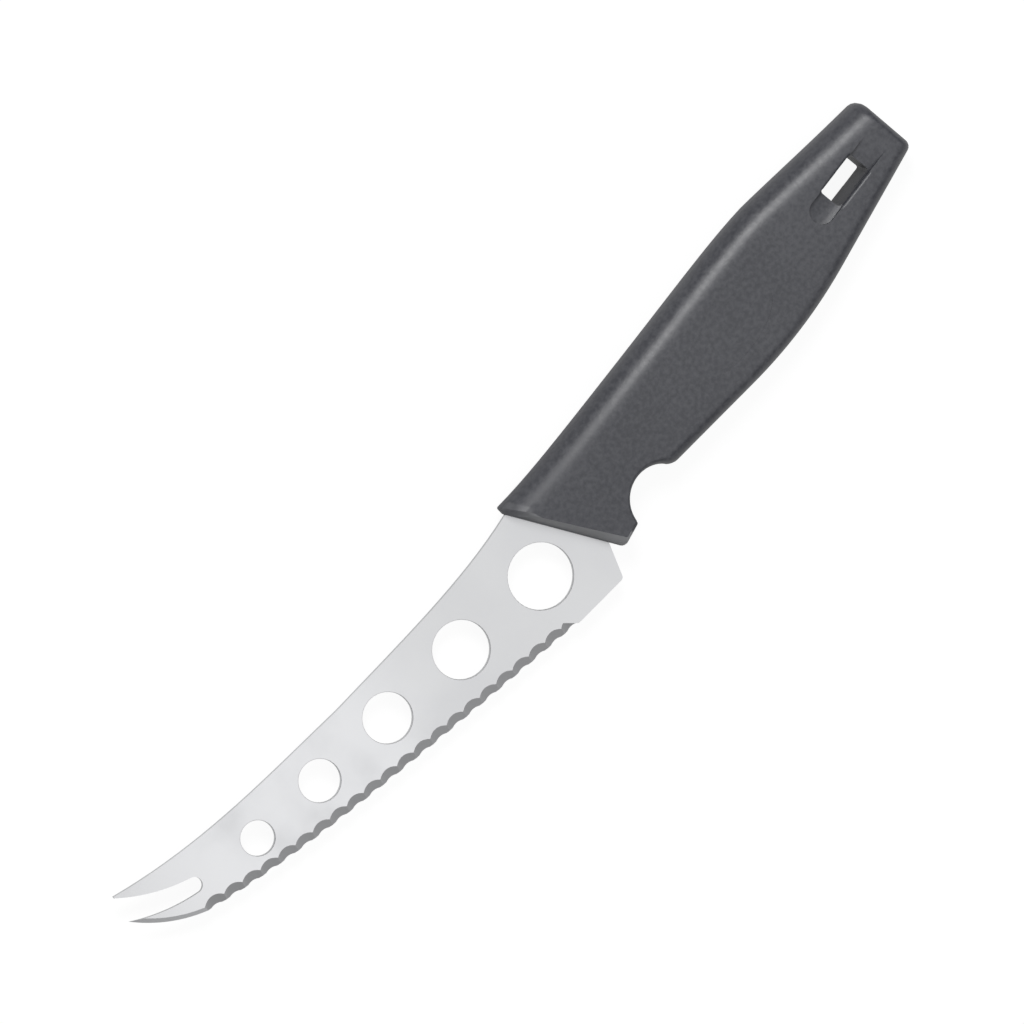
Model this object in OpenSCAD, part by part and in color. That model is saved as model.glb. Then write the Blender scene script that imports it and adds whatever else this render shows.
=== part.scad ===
// Cheese knife: a stamped steel blade held in a one-piece moulded grip.
// The knife lies on its broad side. X runs from the fork to the butt, Y to the spine and Z up.
// Outlines start at the datum, the upper front corner of the grip, level with the middle of the blade.

/* [Blade] */
// Length of the blade, from the upper fork tip to the grip
blade_l = 137.2; // [125:0.1:150]
// Thickness of the sheet
blade_t = 1.5; // [1.2:0.1:2]
// Lowest dip of the spine below the datum
spine_dip = 6.7; // [5:0.1:8]
// Distance of that dip from the grip
spine_dip_x = 65; // [55:1:75]
// Depth of the spine below the datum at the grip
spine_inset = 1.95; // [1.2:0.1:2.2]
// Depth of the straight cutting edge below the datum
edge_drop = 34.8; // [34:0.1:36]
// Overhang of the heel past the datum
heel_x = 10.6; // [9:0.1:12]
// Lean of the heel line from square
heel_lean = 21.5; // [15:0.5:26]
// Rounding of the heel corner
heel_r = 1.2; // [0.5:0.1:2]

/* [Fork] */
// Lead of the lower prong past the upper one
prong_lead = 1.4; // [0.5:0.1:2]
// Depth of the lower prong's tip below the datum
prong_drop = 7.3; // [6.5:0.1:8]
// Blunt width of the upper prong's tip
prong_blunt = 0.5; // [0.3:0.1:0.8]
// Length of the plain prong, from the upper tip to the first scallop
prong_l = 14.8; // [13:0.1:16]
// Depth of the edge below the datum where the scallops start
prong_root_drop = 19.6; // [19:0.1:20.5]
// Radius of the lower prong's outer side
prong_outer_r = 39.2; // [32:0.1:60]
// Radius of the slot's upper side
slot_upper_r = 47.6; // [40:0.1:70]
// Radius of the slot's lower side
slot_lower_r = 50; // [40:0.1:70]
// Radius of the slot's root
slot_root_r = 2.1; // [2:0.1:2.4]
// Distance of the slot's root from the upper tip
slot_l = 16.7; // [15:0.1:18]
// Depth of the slot's root below the datum
slot_root_drop = 12.4; // [12:0.1:12.6]
// Lean of the slot at its root
slot_lean = 17; // [12:1:22]
// Width of the bevel on the lower prong
prong_bevel = 1.2; // [0.8:0.1:2]

/* [Scallops] */
// Number of scallops
scallop_count = 22; // [16:1:22]
// Distance from one scallop to the next
scallop_pitch = 5.37; // [4.8:0.01:5.5]
// Width of the ground face in the middle of a scallop
scallop_w = 2.5; // [1.8:0.1:3]
// Radius of the grinding wheel's rim
scallop_r = 6.7; // [5.8:0.1:9]
// Bite of a scallop into the outline
scallop_bite = 0.4; // [0.2:0.05:0.6]
// Length that the last scallop lacks at the heel
scallop_short = 1; // [0:0.1:2]
// Sheet left at the very edge of the prong
edge_land = 0.2; // [0.1:0.05:0.4]

/* [Holes] */
// Number of release holes
hole_count = 5; // [3:1:5]
// Diameter of the largest hole
hole_d = 17; // [15:0.5:18]
// Loss of diameter from one hole to the next
hole_step = 2; // [1.5:0.1:2.4]
// Sheet left between two holes
hole_web = 11.2; // [9:0.1:11.6]
// Distance of the largest hole's centre from the grip
hole_x = 4.1; // [3:0.1:6]
// Depth of the largest hole's centre below the datum
hole_drop = 19.4; // [18:0.1:20]
// Climb of the row of holes towards the fork
hole_climb = 2.4; // [1.5:0.01:3]
// Rounding of a hole's rim by the punch
hole_roll = 0.1; // [0.05:0.05:0.3]

/* [Tang] */
// Length of the tang past the datum
tang_l = 98; // [85:1:100]
// Height of the tang
tang_w = 11; // [8:0.5:12]
// Depth of the tang's upper side below the datum
tang_drop = 2.6; // [2:0.1:3.5]
// Distance of the blade's hidden shoulder from the datum
tang_shoulder_x = 16.5; // [15.5:0.1:18]
// Rounding of the tang's end
tang_r = 3.5; // [1:0.5:4]
// Number of anchor holes in the tang
anchor_count = 3; // [1:1:3]
// Diameter of an anchor hole
anchor_d = 6; // [4:0.5:7]
// Distance of the last anchor hole from the tang's end
anchor_end = 9; // [7:0.5:12]
// Distance from one anchor hole to the next
anchor_pitch = 22; // [15:1:24]

/* [Grip] */
// Length of the grip
grip_l = 138.1; // [134:0.1:145]
// Thickness of the grip
grip_t = 14; // [12:0.5:18]
// Rise of the back above the datum at its peak
back_rise = 10.3; // [8:0.1:12]
// Distance of that peak from the datum
back_peak_x = 97; // [88:1:105]
// Width of the rounded back
back_round = 7.3; // [6:0.1:8]
// Depth of the straight belly below the datum
belly_drop = 22.9; // [22:0.1:24]
// Distance from the datum to where the belly starts to rise
belly_bend_x = 68; // [60:1:72]
// Radius of the rising belly
belly_r = 134; // [120:1:150]
// Angle that the belly rises by
belly_rise = 15.7; // [14:0.1:17]
// Width of the rounded belly
belly_round = 4; // [3:0.5:4.5]
// Height of the upright nose
nose_h = 1.8; // [1.4:0.1:2.2]
// Lead of the nose past the datum
nose_lead = 0.1; // [0:0.1:0.6]
// Lean of the front
front_lean = 30.7; // [29:0.1:33]
// Width of the front's rounded strip at the nose
front_round = 1.7; // [1.2:0.1:2.2]
// Widening of that strip towards the guard, as an angle
front_spread = 1.9; // [0:0.1:3]
// Lean of the butt
butt_lean = 5.8; // [4:0.1:10]
// Rounding of the butt's upper corner
butt_upper_r = 3; // [2.5:0.1:4.5]
// Rounding of the butt's lower corner
butt_lower_r = 2; // [1:0.1:3]
// Width of the rounded butt
butt_round = 2; // [1.2:0.1:2.6]
// Height of the plain band round the middle, above and below the sheet
seam_lip = 0.4; // [0.3:0.1:0.8]

/* [Finger notch] */
// Radius of the notch
notch_r = 8.7; // [8:0.1:9.5]
// Distance of the notch's centre from the datum
notch_x = 31; // [30:0.1:33]
// Depth of the notch's centre below the datum
notch_drop = 26.8; // [26:0.1:28]
// Mean width of the notch's rounded rim
notch_round = 1.5; // [1.1:0.1:1.8]
// Widening of that rim from the guard to the belly
notch_widening = 0.8; // [0.4:0.1:1]
// Depth of the guard's tip below the datum
guard_drop = 28.6; // [28:0.1:30]
// Rise of the guard's underside
guard_rise = 18.4; // [14:0.1:22]
// Width of the guard's rounded underside
guard_round = 1.2; // [0.8:0.1:1.6]

/* [Hanging eye] */
// Length of the slot
eye_l = 12; // [11:0.1:13]
// Width of the slot
eye_w = 6.4; // [5.8:0.1:7]
// Rounding of the slot's corners
eye_r = 0.8; // [0.5:0.1:1.5]
// Rounding of the slot's rims
eye_rim = 1; // [0.4:0.1:1.3]
// Distance of the slot's middle from the butt
eye_end = 18.8; // [17.6:0.05:20]
// Depth of the slot's middle below the datum
eye_drop = 2.1; // [1:0.05:3]
// Tilt of the slot along the grip
eye_tilt = 7.2; // [0:0.1:9]
// Length of the scoop in front of the slot
scoop_l = 7; // [6:0.1:8]
// Width of the scoop
scoop_w = 6.8; // [6:0.1:7.2]
// Radius of the cutter that shapes the scoop's floor
scoop_r = 8; // [6:0.5:12]
// Depth of the scoop at the slot
scoop_depth = 2; // [1.6:0.1:2.4]
// Depth of the scoop at its round end
scoop_end_depth = 1.1; // [0.8:0.1:1.4]
// Length of the ramp behind the slot
ramp_l = 6.2; // [4:0.1:7]
// Width of the ramp
ramp_w = 6.6; // [6:0.1:8]
// Depth of the ramp at the slot
ramp_depth = 1.5; // [0.8:0.1:2]

/* [Oval] */
// Length of the shallow oval in the upper face
oval_l = 29; // [24:0.5:32]
// Width of the oval
oval_w = 13; // [10:0.5:14]
// Depth of the oval
oval_depth = 0.1; // [0.1:0.05:0.3]
// Distance of the oval's middle from the datum
oval_x = 72.2; // [66:0.1:76]
// Depth of the oval's middle below the datum
oval_drop = 8.6; // [8:0.1:9.5]
// Tilt of the oval along the grip
oval_tilt = 6.4; // [0:0.1:9]

/* [Resting place] */
// Distance of the resting face's middle from the datum
rest_x = 60; // [50:1:64]
// Depth of the resting face's middle below the datum
rest_drop = 9; // [8:0.5:12]

/* [Hidden] */
$fn = 48;

// Overrun of every cut
cut = 1;
// Heights of the spine's guiding points, as shares of its dip: fork to dip, then dip to grip
spine_front_shares = [-0.02, 0.7, 0.98, 0.92, 1];
spine_rear_shares = [1, 0.95, 0.92, 0.86];
// Fall of the edge's guiding points, as shares of its fall from the prong to the straight edge
edge_shares = [0, 0.52, 0.625, 0.86, 1];
// Heights of the back's guiding points, as shares of its rise: datum to peak, then peak to butt
back_front_shares = [0.04, 0.04, 0.48, 0.48, 0.95, 1];
back_rear_shares = [1, 0.97, 0.9, 0.905];
// Height of a rounded side for each unit of its width
crown_share = 1.7;
// Small roundings of the grip's outline and of its flat face
nose_r = 0.5;
guard_r = 1.2;
guard_heel_r = 0.6;
flare_r = 4;
face_r = 0.5;
// Angle at which the front's rounding stops at the flat face
front_crease = 55;
// Angles of the notch where it leaves the guard and flares into the belly, and the flare's swing at the face
notch_from = 172;
notch_to = 40;
notch_swing = 22;
// Steps along curves, round corners and over the rounded sides
curve_steps = 18;
corner_steps = 4;
crown_steps = 10;

half_t = grip_t / 2;
tip_x = -blade_l;
dip_x = -spine_dip_x;
scallop_end_x = tip_x + prong_l + scallop_count * scallop_pitch;
root_middle = [tip_x + slot_l, -slot_root_drop];
upper_tip = [tip_x, -spine_dip * spine_front_shares[0]];
lower_tip = [tip_x - prong_lead, -prong_drop];
edge_start = [tip_x + prong_l, -prong_root_drop];
tang_middle_y = -tang_drop - tang_w / 2;

// Point at the share u of the way along the smooth curve that the points of v guide
function guided(v, u) =
    len(v) == 1
        ? v[0]
        : guided([for (i = [1:len(v) - 1]) v[i - 1] * (1 - u) + v[i] * u], u);

function unit(v) = v / norm(v);

function turned(a) = [cos(a), sin(a)];

function arc(middle, r, a, b, steps) =
    [for (i = [0:steps]) middle + r * turned(a + (b - a) * i / steps)];

function line(a, b, steps) =
    [for (i = [0:steps]) a + (b - a) * i / steps];

// Round corner at b, between the sides that come from a and go on to c
function corner(a, b, c, r, steps) =
    let (
        p = unit(a - b),
        q = unit(c - b),
        half = acos(p * q) / 2,
        middle = b + unit(p + q) * r / sin(half),
        start = b + p * r / tan(half) - middle,
        stop = b + q * r / tan(half) - middle,
        from = atan2(start.y, start.x),
        turn = (atan2(stop.y, stop.x) - from + 540) % 360 - 180
    )
    arc(middle, r, from, from + turn, steps);

// Where the line through p along v meets the line through q along w
function meet(p, v, q, w) = p + v * cross(q - p, w) / cross(v, w);

// Middle of the circle of radius r through a and b that lies to the left of the way from a to b
function bow_middle(a, b, r) =
    let (d = b - a, side = unit([-d.y, d.x]))
    (a + b) / 2 + side * sqrt(r * r - d * d / 4);

function angle_of(v) = (atan2(v.y, v.x) + 360) % 360;

function bow(a, b, r, steps) =
    let (middle = bow_middle(a, b, r))
    arc(middle, r, angle_of(a - middle), angle_of(b - middle), steps);

// Blade outline

function spine_y(x) =
    x < dip_x
        ? -spine_dip * guided(spine_front_shares, (x - tip_x) / (dip_x - tip_x))
        : guided(concat(-spine_dip * spine_rear_shares, [-spine_inset]), (x - dip_x) / spine_dip_x);

function edge_y(x) =
    let (u = (x - edge_start.x) / (scallop_end_x - edge_start.x))
    -prong_root_drop - (edge_drop - prong_root_drop) * guided(edge_shares, u);

heel = [heel_x, -edge_drop];
heel_top = [tang_shoulder_x, -edge_drop + (tang_shoulder_x - heel_x) / tan(heel_lean)];
tang_low = -tang_drop - tang_w;

function spine_line() =
    [for (i = [0:2 * curve_steps]) let (x = tip_x * i / (2 * curve_steps)) [x, spine_y(x)]];

function edge_line() =
    [
        for (i = [1:2 * curve_steps])
            let (x = edge_start.x + (scallop_end_x - edge_start.x) * i / (2 * curve_steps))
            [x, edge_y(x)]
    ];

function blank_outline() =
    concat(
        bow(lower_tip, edge_start, prong_outer_r, curve_steps),
        edge_line(),
        corner([scallop_end_x, -edge_drop], heel, heel_top, heel_r, corner_steps),
        [heel_top, [tang_shoulder_x, tang_low]],
        corner([0, tang_low], [tang_l, tang_low], [tang_l, -tang_drop], tang_r, corner_steps),
        corner([tang_l, tang_low], [tang_l, -tang_drop], [0, -tang_drop], tang_r, corner_steps),
        [[nose_h, -tang_drop]],
        spine_line()
    );

// Slot between the prongs, open past their tips
module slot() {
    side = slot_root_r * turned(90 - slot_lean);
    upper_end = upper_tip - [0, prong_blunt];
    upper_side = bow(upper_end, root_middle + side, slot_upper_r, curve_steps);
    lower_side = bow(lower_tip, root_middle - side, slot_lower_r, curve_steps);
    mouth = [lower_tip - [cut, 0], [lower_tip.x - cut, upper_end.y]];
    linear_extrude(blade_t + 2 * cut, center = true) {
        polygon(concat(mouth, upper_side, [for (i = [0:curve_steps]) lower_side[curve_steps - i]]));
        translate(root_middle) circle(r = slot_root_r);
    }
}

// Sheet with its tang, before the holes
module blank() {
    linear_extrude(blade_t, center = true) polygon(blank_outline());
}

module anchors() {
    for (i = [0:anchor_count - 1])
        translate([tang_l - anchor_end - anchor_pitch * i, tang_middle_y])
            cylinder(h = blade_t + 2 * cut, d = anchor_d, center = true);
}

// Release holes: each is one step smaller than the last, with the same web between them
module release_holes() {
    for (i = [0:hole_count - 1]) {
        x = hole_x + i * (hole_d + hole_web) - hole_step * i * i / 2;
        r = (hole_d - hole_step * i) / 2;
        translate([-x, -hole_drop + (x - hole_x) * tan(hole_climb)]) {
            cylinder(h = blade_t + 2 * cut, r = r, center = true);
            translate([0, 0, blade_t / 2 - hole_roll])
                cylinder(h = 2 * hole_roll, r1 = r, r2 = r + 2 * hole_roll);
        }
    }
}

// One pass of a round wheel, tipped so that it meets the lower face at the edge
module scallop(x) {
    slope = (edge_y(x + cut) - edge_y(x - cut)) / (2 * cut);
    reach = 4 * scallop_w;
    translate([x, edge_y(x), -blade_t / 2])
        rotate(atan(slope))
            translate([0, scallop_bite, 0])
                rotate([atan(blade_t / scallop_w), 0, 0])
                    translate([0, 0, scallop_r])
                        rotate([90, 0, 0])
                            cylinder(h = reach, r = scallop_r, center = true);
}

// Row of scallops, of which the last runs out slantwise
module scallops() {
    stop = scallop_end_x - scallop_short;
    low = -edge_drop - scallop_w;
    intersection() {
        union() {
            for (i = [0:scallop_count - 1])
                scallop(edge_start.x + scallop_pitch * (i + 0.5));
        }
        linear_extrude(2 * blade_t, center = true)
            polygon([
                [edge_start.x, low],
                [stop + scallop_w, low],
                [stop + scallop_w - edge_drop, low + edge_drop],
                [edge_start.x, low + edge_drop]
            ]);
    }
}

// Plain bevel along the outer side of the lower prong
module prong_grind() {
    middle = bow_middle(lower_tip, edge_start, prong_outer_r);
    from = angle_of(lower_tip - middle);
    to = angle_of(edge_start - middle);
    fall = (blade_t - edge_land) / prong_bevel;
    r = prong_outer_r;
    lead = atan(cut / r);
    translate(middle)
        rotate(from - lead)
            rotate_extrude(angle = to - from + lead)
                polygon([
                    [r - prong_bevel - cut / fall, blade_t / 2 + cut],
                    [r + cut, edge_land - blade_t / 2 - cut * fall],
                    [r + cut, blade_t / 2 + cut]
                ]);
}

module blade() {
    color("lightsteelblue")
        placed()
            difference() {
                blank();
                slot();
                release_holes();
                anchors();
                scallops();
                prong_grind();
            }
}

// Grip outline, as its rim round the middle where s is 0, and as the edge of its flat faces where s is 1

function back_y(x) =
    back_rise * (
        x < back_peak_x
            ? guided(back_front_shares, x / back_peak_x)
            : guided(back_rear_shares, (x - back_peak_x) / (grip_l - back_peak_x))
    );

function front_x(y) = (-nose_h - y) * tan(front_lean);

function corner_r(r, s) = r + (face_r - r) * s;

guard_way = turned(guard_rise);
belly_way = turned(belly_rise);
butt_way = turned(90 + butt_lean);
notch_middle = [notch_x, -notch_drop];
belly_middle = [belly_bend_x, belly_r - belly_drop];
belly_end = belly_middle + belly_r * turned(belly_rise - 90);
butt_foot = meet(belly_end, belly_way, [grip_l, 0], [0, 1]);

function grip_outline(s) =
    let (
        back_in = back_round * s,
        foot_x = front_round * s / cos(front_lean),
        nose_y = back_y(0) - back_in,
        nose = [max(-nose_lead, front_x(nose_y) + foot_x), nose_y],
        foot_y = min(nose_lead / tan(front_lean) - nose_h, nose_y - nose_h),
        foot = [front_x(foot_y) + foot_x, foot_y],
        lean = front_lean + front_spread * s,
        front_way = [sin(lean), -cos(lean)],
        guard_start = [front_x(-guard_drop), -guard_drop + guard_round * s / cos(guard_rise)],
        guard_tip = meet(foot, front_way, guard_start, guard_way),
        notch_rim = notch_r + notch_round * s,
        notch_mid = notch_middle + [notch_widening * s, 0],
        guard_heel = meet(guard_tip, guard_way, notch_mid - [notch_rim, 0], [0, 1]),
        notch_end = notch_to + notch_swing * s,
        notch_out = notch_mid + notch_rim * turned(notch_end),
        belly_y = -belly_drop + belly_round * s,
        flare = meet(notch_out, turned(notch_end - 90), [0, belly_y], [1, 0]),
        belly_rim = belly_r - belly_round * s,
        bend_end = belly_middle + belly_rim * turned(belly_rise - 90),
        butt = butt_foot - [butt_round * s / cos(butt_lean), 0],
        butt_low = meet(bend_end, belly_way, butt, butt_way),
        butt_high = meet(butt, butt_way, [0, back_y(grip_l) - back_in], [1, 0]),
        upper_r = corner_r(butt_upper_r, s),
        tip_r = corner_r(guard_r, s),
        back_to = butt_high.x - upper_r,
        back_from = nose.x + nose_r
    )
    concat(
        corner(nose + [1, 0], nose, foot, nose_r, corner_steps),
        line(foot, guard_tip - front_way * 2 * tip_r, curve_steps),
        corner(foot, guard_tip, guard_heel, tip_r, corner_steps),
        corner(guard_tip, guard_heel, guard_heel + [0, 1], corner_r(guard_heel_r, s), corner_steps),
        arc(notch_mid, notch_rim, notch_from, notch_end, 2 * curve_steps),
        corner(notch_out, flare, flare + [1, 0], corner_r(flare_r, s), corner_steps),
        arc(belly_middle, belly_rim, -90, belly_rise - 90, curve_steps),
        corner(bend_end, butt_low, butt_high, corner_r(butt_lower_r, s), corner_steps),
        corner(butt_low, butt_high, butt_high - [1, 0], upper_r, corner_steps),
        [
            for (i = [1:2 * curve_steps - 1])
                let (x = back_to + (back_from - back_to) * i / (2 * curve_steps))
                [x, back_y(x) - back_in]
        ]
    );

// Closed skin over rings of equally many points, from the lowest ring up. Its end faces fan out from hubs,
// of which the second serves the part of the ring from turns[0] to turns[1].
module skin(rings, hubs, turns) {
    count = len(rings[0]);
    last = len(rings) - 1;
    low = count * len(rings);
    high = low + len(hubs);
    ends = [for (k = [0, last]) for (hub = hubs) [hub.x, hub.y, rings[k][0].z]];
    points = concat([for (ring = rings) each ring], ends);
    sides = [
        for (k = [0:last - 1])
            for (i = [0:count - 1])
                let (
                    a = k * count + i,
                    b = k * count + (i + 1) % count,
                    c = b + count,
                    d = a + count
                )
                each [[a, d, c], [a, c, b]]
    ];
    caps = [
        for (i = [0:count - 1])
            let (
                j = (i + 1) % count,
                k = len(turns) == 2 && i >= turns[0] && i < turns[1] ? 1 : 0
            )
            each [[i, j, low + k], [last * count + j, last * count + i, high + k]]
    ];
    joins = [
        if (len(turns) == 2)
            each [
                [low, turns[0], low + 1],
                [low, low + 1, turns[1]],
                [high, high + 1, last * count + turns[0]],
                [high, last * count + turns[1], high + 1]
            ]
    ];
    polyhedron(points, concat(sides, caps, joins));
}

// Both ends of a rounding, as [side, share] from one face round the middle to the other
crown_levels = concat(
    [for (k = [0:crown_steps]) [-1, 1 - k / crown_steps]],
    [for (k = [0:crown_steps]) [1, k / crown_steps]]
);

// Angle at which the rounding stops at point i of the outline: early along the front, which leaves a crease
function crown_end(i) =
    let (
        front = corner_steps + 1,
        guard = front + curve_steps + 1,
        share = i < front
            ? i / corner_steps
            : i < guard
                ? 1
                : (guard + corner_steps - i) / corner_steps
    )
    90 - (90 - front_crease) * max(0, share);

module grip_body() {
    rim = grip_outline(0);
    face = grip_outline(1);
    places = [0:len(rim) - 1];
    tallest = half_t - blade_t / 2 - seam_lip;
    rise = [for (i = places) min(tallest, crown_share * norm(face[i] - rim[i]))];
    rings = [
        for (level = crown_levels) [
            for (i = places)
                let (
                    stop = crown_end(i),
                    a = stop * level[1],
                    p = rim[i] + (face[i] - rim[i]) * (1 - cos(a)) / (1 - cos(stop))
                )
                [p.x, p.y, level[0] * (half_t - rise[i] * (1 - sin(a) / sin(stop)))]
        ]
    ];
    hub_y = (back_y(notch_x) - back_round - notch_drop + notch_r + notch_round) / 2;
    hubs = [[notch_x - notch_r - notch_round, hub_y], [notch_x + notch_r, hub_y]];
    notch_top = 3 * (corner_steps + 1) + 2 * curve_steps + 1;
    skin(rings, hubs, [notch_top, len(rim) - floor(curve_steps / 2)]);
}

// Rounded rectangle that is l long and w wide
function rounded_box(l, w, r) =
    let (x = l / 2, y = w / 2)
    concat(
        corner([x, -y], [x, y], [-x, y], r, corner_steps),
        corner([x, y], [-x, y], [-x, -y], r, corner_steps),
        corner([-x, y], [-x, -y], [x, -y], r, corner_steps),
        corner([-x, -y], [x, -y], [x, y], r, corner_steps)
    );

// Slot through the grip, with rims that round out to both faces
module eye_slot() {
    steps = 2 * corner_steps;
    rims = [for (k = [0:steps]) 90 * k / steps];
    function ring(out, z) =
        [for (p = rounded_box(eye_l + 2 * out, eye_w + 2 * out, eye_r + out)) [p.x, p.y, z]];
    rings = concat(
        [ring(eye_rim, -half_t - cut)],
        [for (a = rims) ring(eye_rim * (1 - sin(a)), -half_t + eye_rim * (1 - cos(a)))],
        [for (a = rims) ring(eye_rim * (1 - cos(a)), half_t - eye_rim * (1 - sin(a)))],
        [ring(eye_rim, half_t + cut)]
    );
    skin(rings, [[0, 0]], []);
}

// Thumb scoop of a round cutter that climbs away from the slot to a round end
module scoop() {
    climb = atan((scoop_depth - scoop_end_depth) / scoop_l);
    half_w = scoop_w / 2;
    intersection() {
        translate([-eye_l / 2 - scoop_l, 0, half_t - scoop_end_depth + scoop_r])
            rotate([0, 90 + climb, 0])
                translate([0, 0, -scoop_r]) cylinder(h = scoop_l + 3 * scoop_r, r = scoop_r);
        hull() {
            translate([half_w - eye_l / 2 - scoop_l, 0, 0]) cylinder(h = grip_t, r = half_w);
            translate([-eye_l / 2, 0, 0]) cylinder(h = grip_t, r = half_w);
        }
    }
}

// Shallow ramp that climbs from the slot to the face behind it
module ramp() {
    intersection() {
        translate([0, -ramp_w / 2, 0]) cube([eye_l / 2 + ramp_l + cut, ramp_w, half_t + cut]);
        translate([eye_l / 2, 0, half_t - ramp_depth])
            rotate([0, -atan(ramp_depth / ramp_l), 0])
                translate([-eye_l / 2, -ramp_w, 0])
                    cube([eye_l / 2 + 2 * ramp_l, 2 * ramp_w, half_t]);
    }
}

module hanging_eye() {
    translate([grip_l - eye_end, -eye_drop])
        rotate(eye_tilt) {
            eye_slot();
            for (side = [0, 1])
                mirror([0, 0, side]) {
                    scoop();
                    ramp();
                }
        }
}

module oval() {
    steps = 3 * curve_steps;
    translate([oval_x, -oval_drop, half_t - oval_depth])
        rotate(oval_tilt)
            linear_extrude(oval_depth + cut)
                polygon([
                    for (i = [0:steps - 1])
                        [oval_l * cos(360 * i / steps) / 2, oval_w * sin(360 * i / steps) / 2]
                ]);
}

// The plastic fills the tang's anchor holes
module tang_seat() {
    difference() {
        blank();
        anchors();
    }
}

module handle() {
    color("dimgray")
        placed()
            difference() {
                grip_body();
                tang_seat();
                hanging_eye();
                oval();
            }
}

// The origin is the middle of the lower resting face
module placed() {
    translate([-rest_x, rest_drop, half_t]) children();
}

blade();
handle();
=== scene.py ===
import bpy
import math
from mathutils import Matrix, Vector


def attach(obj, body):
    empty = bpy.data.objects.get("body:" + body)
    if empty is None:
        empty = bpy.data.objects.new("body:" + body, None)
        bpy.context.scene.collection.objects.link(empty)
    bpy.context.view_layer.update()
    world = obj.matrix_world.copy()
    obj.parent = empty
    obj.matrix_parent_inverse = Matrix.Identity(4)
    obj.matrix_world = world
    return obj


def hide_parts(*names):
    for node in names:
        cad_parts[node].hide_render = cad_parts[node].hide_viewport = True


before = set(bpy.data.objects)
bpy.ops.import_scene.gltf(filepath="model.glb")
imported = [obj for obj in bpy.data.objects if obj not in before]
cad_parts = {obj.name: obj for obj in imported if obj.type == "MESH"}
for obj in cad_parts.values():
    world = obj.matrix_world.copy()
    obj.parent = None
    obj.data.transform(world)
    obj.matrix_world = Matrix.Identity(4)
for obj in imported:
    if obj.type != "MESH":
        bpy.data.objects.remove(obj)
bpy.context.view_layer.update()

# Blade
# One stamped sheet of stainless steel, satin ground on its broad faces, with a fork and five holes.
# A round wheel ground the scallops into the upper side of the edge. The tang is moulded in.
MERGE_GAP = 0.000002
CREASE_ANGLE = math.radians(30)


def finished_copy(name, node):
    """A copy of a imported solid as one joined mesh, smooth over its curves, that stands for it."""
    bpy.ops.object.select_all(action="DESELECT")
    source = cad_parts[node]
    source.select_set(True)
    bpy.context.view_layer.objects.active = source
    bpy.ops.object.duplicate()
    piece = bpy.context.view_layer.objects.active
    piece.name = name
    piece.data.name = name
    piece.parent = None
    for key in list(piece.keys()):
        del piece[key]
    bpy.ops.mesh.customdata_custom_splitnormals_clear()
    bpy.ops.object.mode_set(mode="EDIT")
    bpy.ops.mesh.select_all(action="SELECT")
    bpy.ops.mesh.remove_doubles(threshold=MERGE_GAP)
    bpy.ops.mesh.select_all(action="DESELECT")
    bpy.ops.object.mode_set(mode="OBJECT")
    bpy.ops.object.shade_smooth_by_angle(angle=CREASE_ANGLE)
    piece.data.materials.clear()
    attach(piece, "root")
    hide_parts(node)
    return piece


def new_material(name):
    """A material, its nodes and links, and its Principled BSDF."""
    material = bpy.data.materials.new(name)
    material.use_nodes = True
    nodes = material.node_tree.nodes
    return material, nodes, material.node_tree.links, nodes["Principled BSDF"]


def feed(links, value, socket):
    """Links an output to a socket, or sets a number or a colour on it."""
    if isinstance(value, bpy.types.NodeSocket):
        links.new(value, socket)
    else:
        socket.default_value = value


def math_node(nodes, links, operation, first, second=0.5):
    """The output of a Math node on two values, each a socket or a number."""
    node = nodes.new("ShaderNodeMath")
    node.operation = operation
    feed(links, first, node.inputs[0])
    feed(links, second, node.inputs[1])
    return node.outputs[0]


def blend(nodes, links, factor, first, second, kind="RGBA"):
    """A colour, or another kind of value, that goes from first to second with a factor."""
    node = nodes.new("ShaderNodeMix")
    node.data_type = kind
    links.new(factor, node.inputs["Factor"])
    feed(links, first, node.inputs["A"])
    feed(links, second, node.inputs["B"])
    return node.outputs["Result"]


def step_up(nodes, links, value, low, high, start=0, stop=1):
    """A value that goes smoothly from start to stop while the given one goes from low to high."""
    node = nodes.new("ShaderNodeMapRange")
    node.interpolation_type = "SMOOTHSTEP"
    links.new(value, node.inputs["Value"])
    node.inputs["From Min"].default_value = low
    node.inputs["From Max"].default_value = high
    node.inputs["To Min"].default_value = start
    node.inputs["To Max"].default_value = stop
    return node.outputs["Result"]


def coordinates(nodes, links, kind):
    """The X, Y and Z of one kind of texture coordinates, such as Object or Normal."""
    source = nodes.new("ShaderNodeTexCoord")
    split = nodes.new("ShaderNodeSeparateXYZ")
    links.new(source.outputs[kind], split.inputs[0])
    return split.outputs


def noise(nodes, links, scale, detail, stretch=(1, 1, 1)):
    """Noise in object space, its pattern drawn out where stretch is small."""
    place = nodes.new("ShaderNodeTexCoord")
    mapping = nodes.new("ShaderNodeMapping")
    mapping.inputs["Scale"].default_value = stretch
    texture = nodes.new("ShaderNodeTexNoise")
    texture.inputs["Scale"].default_value = scale
    texture.inputs["Detail"].default_value = detail
    links.new(place.outputs["Object"], mapping.inputs["Vector"])
    links.new(mapping.outputs["Vector"], texture.inputs["Vector"])
    return texture.outputs["Fac"]


def new_group(name, outputs):
    """A node group that gives the named values, with its nodes, its links and its output node."""
    group = bpy.data.node_groups.new(name, "ShaderNodeTree")
    for output in outputs:
        group.interface.new_socket(output, in_out="OUTPUT", socket_type="NodeSocketFloat")
    return group, group.nodes, group.links, group.nodes.new("NodeGroupOutput")


def add_group(nodes, group):
    """The outputs of a node group placed in a material."""
    node = nodes.new("ShaderNodeGroup")
    node.node_tree = group
    return node.outputs


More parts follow.
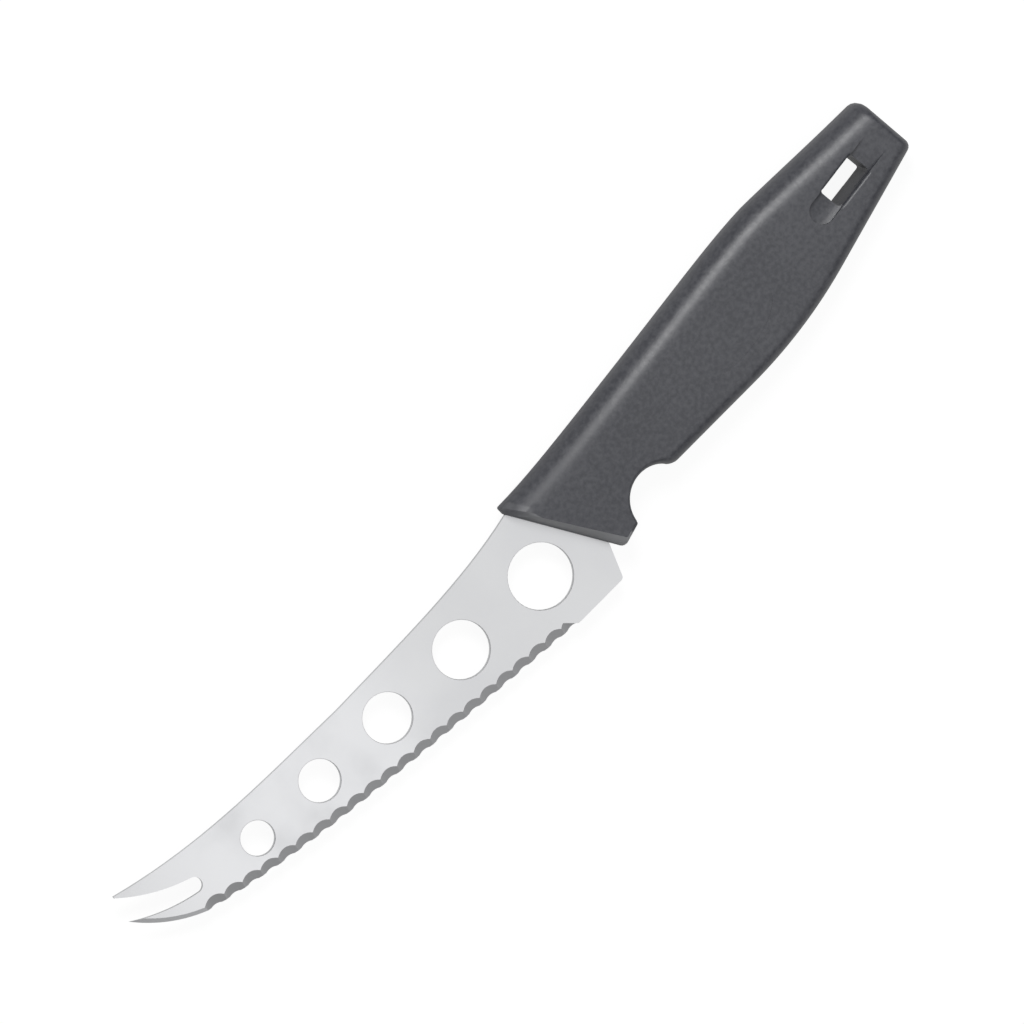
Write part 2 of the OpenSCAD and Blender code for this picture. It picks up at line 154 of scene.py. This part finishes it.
def add_bump(nodes, links, height, distance, strength, bsdf):
    """A relief of a distance in metres, from a height that goes from 0 to 1."""
    node = nodes.new("ShaderNodeBump")
    node.inputs["Distance"].default_value = distance
    node.inputs["Strength"].default_value = strength
    links.new(height, node.inputs["Height"])
    links.new(node.outputs["Normal"], bsdf.inputs["Normal"])


# How both surfaces vary: broad handling marks, and where they slope, neither level nor upright
HANDLING_SCALE = 45
HANDLING_DETAIL = 4
LEVEL_FROM, LEVEL_FULL = 0.93, 0.995
UPRIGHT_FULL, UPRIGHT_TO = 0.15, 0.45
marks, nodes, links, result = new_group("surface_marks", ("Handling", "Sloped"))
links.new(noise(nodes, links, HANDLING_SCALE, HANDLING_DETAIL), result.inputs["Handling"])
level = math_node(nodes, links, "ABSOLUTE", coordinates(nodes, links, "Normal")["Z"])
off_level = step_up(nodes, links, level, LEVEL_FROM, LEVEL_FULL, 1, 0)
off_upright = step_up(nodes, links, level, UPRIGHT_FULL, UPRIGHT_TO)
links.new(math_node(nodes, links, "MULTIPLY", off_level, off_upright), result.inputs["Sloped"])

blade = finished_copy("blade_steel_sheet", "blade")

STEEL = (0.79, 0.795, 0.81, 1)
STEEL_PAINTED_SHADE = (0.69, 0.695, 0.705, 1)
STEEL_DULL = (0.68, 0.685, 0.70, 1)
STEEL_GROUND = (0.67, 0.675, 0.69, 1)
HEEL_FROM, HEEL_FULL = -0.13, -0.09
FORK_FULL, FORK_FROM = -0.195, -0.17
FORK_SHARE = 0.6
DULL_FROM, DULL_FULL = 0.45, 0.8
BRUSHED_SCALE, BRUSHED_DETAIL, BRUSHED_STRETCH = 2600, 3, (0.05, 1, 1)
WHEEL_SCALE, WHEEL_DETAIL, WHEEL_STRETCH = 3000, 2, (1, 0.08, 0.3)
SATIN_FROM, SATIN_FULL = 0.3, 0.7
SATIN_LEAST, SATIN_MOST = 0.34, 0.39
GROUND_ROUGHER = 0.08
SCRATCH_DEPTH = 0.00001
SCRATCH_STRENGTH = 0.5
steel, nodes, links, bsdf = new_material("satin_steel")
surface = add_group(nodes, marks)
place = coordinates(nodes, links, "Object")
# Painted shade: the steel is painted darker towards the heel and on the fork, where its reflection
# looks darker
heel = step_up(nodes, links, place["X"], HEEL_FROM, HEEL_FULL)
fork = step_up(nodes, links, place["X"], FORK_FULL, FORK_FROM, FORK_SHARE, 0)
painted_shade_ends = math_node(nodes, links, "ADD", heel, fork)
length = blend(nodes, links, painted_shade_ends, STEEL, STEEL_PAINTED_SHADE)
dull = step_up(nodes, links, surface["Handling"], DULL_FROM, DULL_FULL)
tint = blend(nodes, links, dull, length, STEEL_DULL)
hollow = blend(nodes, links, surface["Sloped"], tint, STEEL_GROUND)
links.new(hollow, bsdf.inputs["Base Color"])
bsdf.inputs["Metallic"].default_value = 1
satin = step_up(nodes, links, surface["Handling"], SATIN_FROM, SATIN_FULL, SATIN_LEAST, SATIN_MOST)
coarser = math_node(nodes, links, "MULTIPLY", surface["Sloped"], GROUND_ROUGHER)
links.new(math_node(nodes, links, "ADD", satin, coarser), bsdf.inputs["Roughness"])
brushed = noise(nodes, links, BRUSHED_SCALE, BRUSHED_DETAIL, BRUSHED_STRETCH)
wheeled = noise(nodes, links, WHEEL_SCALE, WHEEL_DETAIL, WHEEL_STRETCH)
scratches = blend(nodes, links, surface["Sloped"], brushed, wheeled, kind="FLOAT")
add_bump(nodes, links, scratches, SCRATCH_DEPTH, SCRATCH_STRENGTH, bsdf)
blade.data.materials.append(steel)

# Grip
# A solid moulding of dark grey plastic round the tang, with a finger notch behind the blade's heel
# and a slot through its butt to hang it by. Its faces have the fine even grain of an etched mould.
grip = finished_copy("grip_moulding", "handle")

PLASTIC = (0.038, 0.0395, 0.049, 1)
PLASTIC_RUBBED = (0.073, 0.075, 0.086, 1)
# The palest plastic colour paints a highlight on the front chamfer
PLASTIC_PAINTED_HIGHLIGHT = (0.250, 0.253, 0.263, 1)
PLASTIC_IOR = 1.62
PITS_SCALE, PITS_DETAIL = 850, 4
PITS_SHARE = 3
RUBBED_FROM, RUBBED_FULL = 1.3, 2.75
FRONT_TURN = math.radians(32.2)
FRONT_EDGE = -0.0440
FRONT_FADE = 0.0008
GUARD_FULL, GUARD_TO = 0.000, 0.008
GUARD_LEAST = 0.2
MATT_FROM, MATT_FULL = 1.5, 2.5
MATT_LEAST, MATT_MOST = 0.42, 0.48
SLOPE_SMOOTHER = 0.04
NOSE_FULL, NOSE_TO = -0.06, 0.0
NOSE_ROUGHER = 0.12
PARTING_HEIGHT = 0.007
SEAM_INNER, SEAM_OUTER = 0.00005, 0.0002
GRAIN_DEPTH = 0.00009
GRAIN_STRENGTH = 0.5
plastic, nodes, links, bsdf = new_material("grained_plastic")
surface = add_group(nodes, marks)
place = coordinates(nodes, links, "Object")
pits = noise(nodes, links, PITS_SCALE, PITS_DETAIL)
deep_pits = math_node(nodes, links, "MULTIPLY", pits, PITS_SHARE)
blotch = math_node(nodes, links, "ADD", surface["Handling"], deep_pits)
rubbing = step_up(nodes, links, blotch, RUBBED_FROM, RUBBED_FULL)
tint = blend(nodes, links, rubbing, PLASTIC, PLASTIC_RUBBED)
# Painted highlight: the chamfer at the front is painted paler, as if lit from the fork's side, less
# so towards the back of the grip
along_x = math_node(nodes, links, "MULTIPLY", place["X"], math.cos(FRONT_TURN))
along_y = math_node(nodes, links, "MULTIPLY", place["Y"], math.sin(FRONT_TURN))
from_front = math_node(nodes, links, "ADD", along_x, along_y)
front = step_up(nodes, links, from_front, FRONT_EDGE, FRONT_EDGE + FRONT_FADE, 1, 0)
chamfer = math_node(nodes, links, "MULTIPLY", front, surface["Sloped"])
guard = step_up(nodes, links, place["Y"], GUARD_FULL, GUARD_TO, 1, GUARD_LEAST)
painted_highlight = math_node(nodes, links, "MULTIPLY", chamfer, guard)
links.new(blend(nodes, links, painted_highlight, tint, PLASTIC_PAINTED_HIGHLIGHT), bsdf.inputs["Base Color"])
bsdf.inputs["IOR"].default_value = PLASTIC_IOR
# Matt with the grain, a little smoother where it slopes, and rougher at the nose than at the palm
matt = step_up(nodes, links, blotch, MATT_FROM, MATT_FULL, MATT_LEAST, MATT_MOST)
smoother = math_node(nodes, links, "MULTIPLY", surface["Sloped"], SLOPE_SMOOTHER)
grained = math_node(nodes, links, "SUBTRACT", matt, smoother)
nose = step_up(nodes, links, place["X"], NOSE_FULL, NOSE_TO, NOSE_ROUGHER, 0)
links.new(math_node(nodes, links, "ADD", grained, nose), bsdf.inputs["Roughness"])
# The two halves of the mould leave a fine raised line where they part
off_line = math_node(nodes, links, "SUBTRACT", place["Z"], PARTING_HEIGHT)
off_line = math_node(nodes, links, "ABSOLUTE", off_line)
seam = step_up(nodes, links, off_line, SEAM_INNER, SEAM_OUTER, 1, 0)
height = math_node(nodes, links, "ADD", pits, seam)
add_bump(nodes, links, height, GRAIN_DEPTH, GRAIN_STRENGTH, bsdf)
grip.data.materials.append(plastic)

# Floor
# A white sweep under the knife, which shows white to the camera with a faint shadow. The steel
# mirrors two fifths of its white.
FLOOR_SIZE = 8
FLOOR_GAP = 0.00005
MIRRORED_SHARE = 0.4
FLOOR_GREY = (0.55, 0.55, 0.55, 1)
SHADOW_GREY = (0.12, 0.12, 0.12, 1)
FLOOR_GLOW = 0.92


def mix_shaders(nodes, links, factor, first, second, output):
    """Two shaders mixed by a factor, as the surface that an output shows."""
    mix = nodes.new("ShaderNodeMixShader")
    for place, source in enumerate((factor, first.outputs[0], second.outputs[0])):
        links.new(source, mix.inputs[place])
    links.new(mix.outputs[0], output.inputs["Surface"])


bpy.ops.object.select_all(action="DESELECT")
bpy.ops.mesh.primitive_plane_add(size=FLOOR_SIZE, location=(0, 0, -FLOOR_GAP))
floor = bpy.context.view_layer.objects.active
floor.name = "floor"
paper, nodes, links, bsdf = new_material("white_paper")
nodes.remove(bsdf)
path = nodes.new("ShaderNodeLightPath")
mirrored = math_node(nodes, links, "MULTIPLY", path.outputs["Is Glossy Ray"], MIRRORED_SHARE)
seen = math_node(nodes, links, "MAXIMUM", path.outputs["Is Camera Ray"], mirrored)
shown = math_node(nodes, links, "MAXIMUM", seen, path.outputs["Is Transmission Ray"])
lit = nodes.new("ShaderNodeBsdfDiffuse")
lit.inputs["Color"].default_value = FLOOR_GREY
shade = nodes.new("ShaderNodeBsdfDiffuse")
shade.inputs["Color"].default_value = SHADOW_GREY
glow = nodes.new("ShaderNodeEmission")
glow.inputs["Strength"].default_value = FLOOR_GLOW
white = nodes.new("ShaderNodeAddShader")
links.new(shade.outputs[0], white.inputs[0])
links.new(glow.outputs[0], white.inputs[1])
mix_shaders(nodes, links, shown, lit, white, nodes["Material Output"])
floor.data.materials.append(paper)

# Light
# An even grey room, a broad softbox overhead, and a small strong one on the spine's side, which
# draws the highlight along the back of the grip.
ROOM_WHITE = (1, 1, 1, 1)
ROOM_STRENGTH = 0.26
BACKDROP_STRENGTH = 1
room = bpy.data.worlds.new("room")
bpy.context.scene.world = room
room.use_nodes = True
nodes, links = room.node_tree.nodes, room.node_tree.links
ambient = nodes["Background"]
backdrop = nodes.new("ShaderNodeBackground")
for background, strength in ((ambient, ROOM_STRENGTH), (backdrop, BACKDROP_STRENGTH)):
    background.inputs["Color"].default_value = ROOM_WHITE
    background.inputs["Strength"].default_value = strength
path = nodes.new("ShaderNodeLightPath")
mix_shaders(nodes, links, path.outputs["Is Camera Ray"], ambient, backdrop, nodes["World Output"])


def softbox(name, middle, size, radiance):
    """A square area lamp that faces the knife and is as bright as radiance on its surface."""
    bpy.ops.object.light_add(type="AREA", location=middle)
    lamp = bpy.context.view_layer.objects.active
    lamp.name = name
    lamp.data.shape = "SQUARE"
    lamp.data.size = size
    lamp.data.energy = radiance * math.pi * size * size
    lamp.rotation_euler = Vector(middle).to_track_quat("Z", "Y").to_euler()


softbox("overhead_box", middle=(0, -0.45, 1.2), size=1.3, radiance=0.81)
softbox("spine_box", middle=(0.15, 0.73, 1.03), size=0.45, radiance=13.5)

# Camera
# The photograph is taken from above, leaning 12.4 degrees to the spine and 7.2 degrees to the fork,
# from so far off that it has no perspective to speak of, with the knife's length at 45 degrees.
LEAN_TO_FORK = math.radians(7.2)
LEAN_TO_SPINE = math.radians(12.4)
TURN = math.radians(45.15)
PIXELS_PER_MM = 4.01
FRAME_WIDTH = 1.024 / PIXELS_PER_MM
DISTANCE = 10.0
SENSOR_MM = 36
CLIP_NEAR, CLIP_FAR = 0.1, 20
AIM = Vector((-0.0581, 0.0062, 0.007))
to_camera = Vector((-math.tan(LEAN_TO_FORK), math.tan(LEAN_TO_SPINE), 1)).normalized()
along = (Vector((1, 0, 0)) - to_camera * to_camera.x).normalized()
across = to_camera.cross(along)
right = along * math.cos(TURN) - across * math.sin(TURN)
up = along * math.sin(TURN) + across * math.cos(TURN)
bpy.ops.object.camera_add()
camera = bpy.context.view_layer.objects.active
camera.name = "camera"
axes = Matrix((right, up, to_camera)).transposed()
camera.matrix_world = Matrix.Translation(AIM + to_camera * DISTANCE) @ axes.to_4x4()
camera.data.sensor_width = SENSOR_MM
camera.data.lens = SENSOR_MM * DISTANCE / FRAME_WIDTH
camera.data.clip_start = CLIP_NEAR
camera.data.clip_end = CLIP_FAR
bpy.context.scene.camera = camera
bpy.context.scene.view_settings.view_transform = "Standard"
